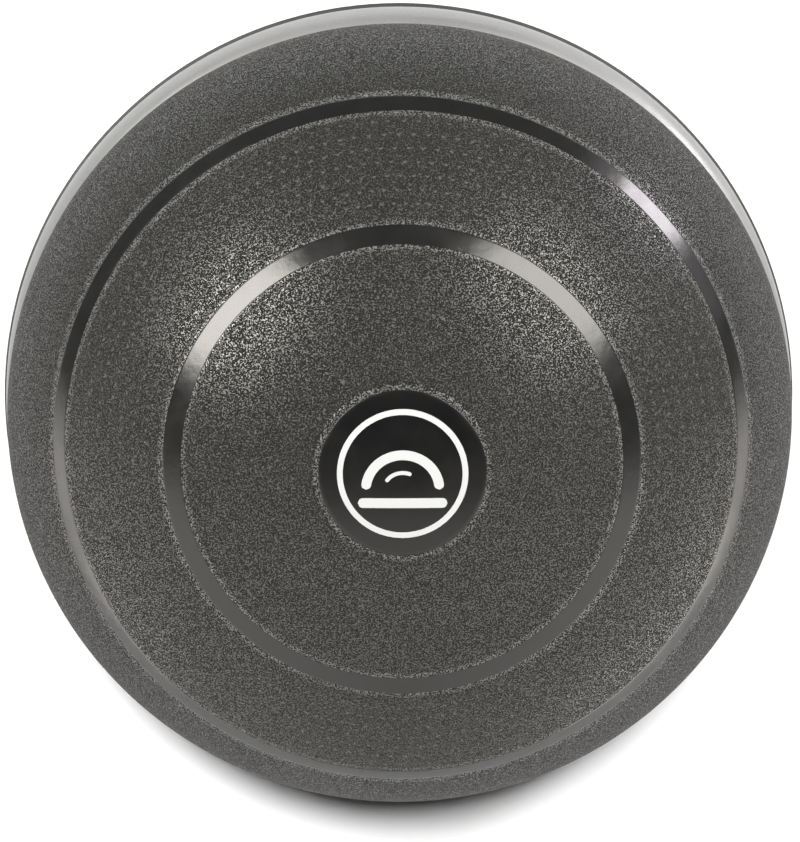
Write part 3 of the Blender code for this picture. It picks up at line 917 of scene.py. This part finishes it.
# ---- floor, light and camera -------------------------------------------------------------------
def make_floor():
    half = 1.25
    corners = [(-half, -half, 0.0), (half, -half, 0.0), (half, half, 0.0), (-half, half, 0.0)]
    mesh = bpy.data.meshes.new("studio_floor")
    mesh.from_pydata(corners, [], [(0, 1, 2, 3)])
    finish = Finish("floor_paint", Roughness=0.9, Specular_IOR_Level=0.1)
    cloud = finish.noise(finish.own_place(), 3.0, 2.0)
    finish.use("Base Color", finish.blend(cloud, (0.86, 0.86, 0.86), (0.88, 0.88, 0.88)))
    floor = new_object("studio_floor", mesh)
    mesh.materials.append(finish.material)


def make_world():
    """A pale backdrop in view, a weak even fill, and in the gloss a studio pale only in front."""
    world = bpy.data.worlds.new("studio")
    world.use_nodes = True
    bpy.context.scene.world = world
    tree = world.node_tree

    def add(kind, inputs, **settings):
        return add_node(tree, kind, inputs, **settings).outputs[0]

    direction = add_node(tree, "TexCoord", {}).outputs["Generated"]
    x, y, z = add_node(tree, "SeparateXYZ", {0: direction}).outputs
    edge = add("Math", {0: z, 1: 0.26, 2: add("Math", {0: y, 1: -0.17})}, operation='MULTIPLY_ADD')
    front = add("MapRange", {"Value": edge, "From Min": -0.10, "From Max": -0.40, "To Min": 0.04,
                             "To Max": 1.0}, interpolation_type='SMOOTHSTEP')
    height = {"Value": z, "From Min": -0.10, "From Max": 0.45}
    middle = add("MapRange", {**height, "To Min": 0.85, "To Max": 1.86})
    slope = add("MapRange", {**height, "To Min": 3.90, "To Max": 1.30})
    sides = add("Math", {0: add("Math", {0: x}, operation='ABSOLUTE'), 1: slope, 2: middle},
                operation='MULTIPLY_ADD')
    strength = add("Math", {0: front, 1: sides}, operation='MULTIPLY')
    shine = add("Background", {"Color": (0.83, 0.79, 0.745, 1), "Strength": strength})
    fill = add("Background", {"Color": (1, 1, 1, 1), "Strength": 0.02})
    backdrop = add("Background", {"Color": (1, 1, 1, 1), "Strength": 1.0})
    rays = add_node(tree, "LightPath", {}).outputs
    lit = add("MixShader", {0: rays["Is Glossy Ray"], 1: fill, 2: shine})
    seen = add("MixShader", {0: rays["Is Camera Ray"], 1: lit, 2: backdrop})
    feed(tree, tree.nodes["World Output"], "Surface", seen)


def aimed(back, up):
    """The turn that leaves an object's Z along back and its X level with respect to up."""
    across = up.cross(back).normalized()
    return Matrix((across, back.cross(across), back)).transposed().to_4x4()


def softbox(name, direction, width, height, brightness, tint):
    """A studio softbox that faces the dome: it shows in gloss only, and windows light the rest."""
    distance = 1.9
    light = bpy.data.lights.new(name, 'AREA')
    light.shape = 'RECTANGLE'
    light.size, light.size_y = width, height
    light.energy = brightness * width * height * 4
    light.color = tint
    made = new_object(name, light)
    back = Vector(direction).normalized()
    place = Matrix.Translation(back * distance + Vector((0, 0, WIDEST_HEIGHT)))
    made.matrix_world = place @ aimed(back, Vector((0, 0, 1)))
    made.visible_camera = False
    made.visible_diffuse = False


def window(name, bearing, rise, width, brightness):
    """A far soft light, by its bearing from +X, rise over the floor and width in degrees."""
    sun = bpy.data.lights.new(name, 'SUN')
    sun.energy = brightness
    sun.angle = math.radians(width)
    made = new_object(name, sun)
    level, across = math.radians(rise), math.radians(bearing)
    back = Vector((math.cos(level) * math.cos(across), math.cos(level) * math.sin(across),
                   math.sin(level)))
    made.rotation_euler = back.to_track_quat('Z', 'Y').to_euler()
    made.visible_glossy = False


def make_lights():
    """Softboxes for the highlights, warm but for the side one, and windows for the shading."""
    make_world()
    for name, direction, width, height, brightness, tint in (
            ("left_box", (-0.567, 0.372, 0.735), 0.92, 0.80, 15.0, (1, 0.96, 0.89)),
            ("right_box", (0.510, 0.440, 0.735), 1.00, 0.84, 10.5, (1, 0.965, 0.90)),
            ("side_box", (0.795, 0.600, 0.100), 0.46, 0.45, 14.0, (1, 0.94, 0.98)),
            ("left_glow", (-0.68, 0.58, 0.42), 1.20, 0.75, 0.75, (1, 0.96, 0.89)),
            ("right_glow", (0.78, 0.50, 0.20), 1.30, 0.85, 0.75, (1, 0.95, 0.96)),
            ("low_left_box", (-0.76, -0.64, 0.06), 0.80, 0.40, 1.6, (1, 0.93, 0.86)),
            ("low_right_box", (0.74, -0.67, 0.06), 1.50, 0.40, 2.6, (1, 0.93, 0.86))):
        softbox(name, direction, width, height, brightness, tint)
    for name, bearing, rise, width, brightness in (
            ("high_window", 88, 62, 10, 3.60),
            ("left_window", 117, 52, 14, 1.50),
            ("right_window", 55, 37, 10, 0.95)):
        window(name, bearing, rise, width, brightness)


def place_camera():
    """The photograph's view: nearly straight down on the crown, a little from the back."""
    tilt, turn = math.radians(10.0), math.radians(-0.5)
    distance = 4.4 * DOME_RADIUS
    back = Vector((math.cos(tilt) * math.sin(turn), math.sin(tilt),
                   math.cos(tilt) * math.cos(turn)))
    camera = bpy.data.cameras.new("camera")
    camera.lens = 72.92
    camera.sensor_width = 36.0
    made = new_object("camera", camera)
    place = Matrix.Translation(Vector((0, 0, WIDEST_HEIGHT)) + back * distance)
    made.matrix_world = place @ aimed(back, Vector((0, 1, 0)))
    bpy.context.scene.camera = made


make_dome()
make_badge()
make_emblem()
make_ring()
make_platform()
make_screws()
make_feet()
make_valve()
make_floor()
make_lights()
place_camera()
bpy.context.scene.view_settings.view_transform = 'Standard'
